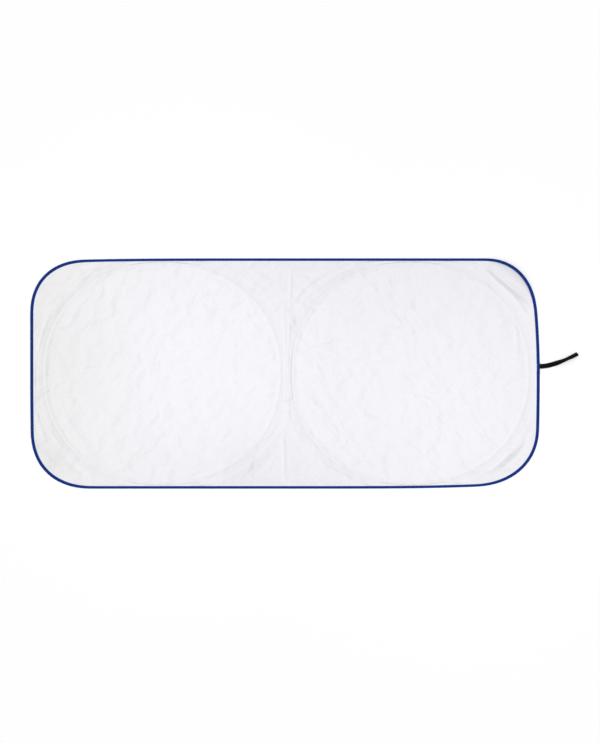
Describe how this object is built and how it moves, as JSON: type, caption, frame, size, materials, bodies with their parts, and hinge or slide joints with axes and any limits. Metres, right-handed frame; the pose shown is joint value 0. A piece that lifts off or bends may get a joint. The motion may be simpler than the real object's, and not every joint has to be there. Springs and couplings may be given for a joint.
{
  "type": "windscreen sunshade",
  "caption": "Folding windscreen sunshade: a coated cloth panel held open by flat spring hoops in sewn casings, with a bound edge and an elastic loop at one end.",
  "frame": {"origin": "on the resting plane, on the line midway between the two hoops, at the middle of the sheet's height", "axes": "+X along the length towards the end with the elastic loop, +Y up the height as the shade hangs, +Z out of the front face, away from the floor"},
  "size_m": [1.3971, 0.5874, 0.0113],
  "materials": {
    "coated_cloth": "white coated polyester taffeta",
    "binding_tape": "royal blue woven binding tape",
    "casing_tape": "plain woven tape",
    "spring_steel": "tempered flat spring strip",
    "ferrule_steel": "plated sheet steel",
    "elastic": "black ribbed elastic"
  },
  "bodies": {
    "root": {"panel": "coated_cloth", "edge_binding": "binding_tape", "hoop_casing_left": "casing_tape", "hoop_left": "spring_steel", "hoop_ferrule_left": "ferrule_steel", "hoop_casing_right": "casing_tape", "hoop_right": "spring_steel", "hoop_ferrule_right": "ferrule_steel", "elastic_loop": "elastic"}
  },
  "joints": []
}
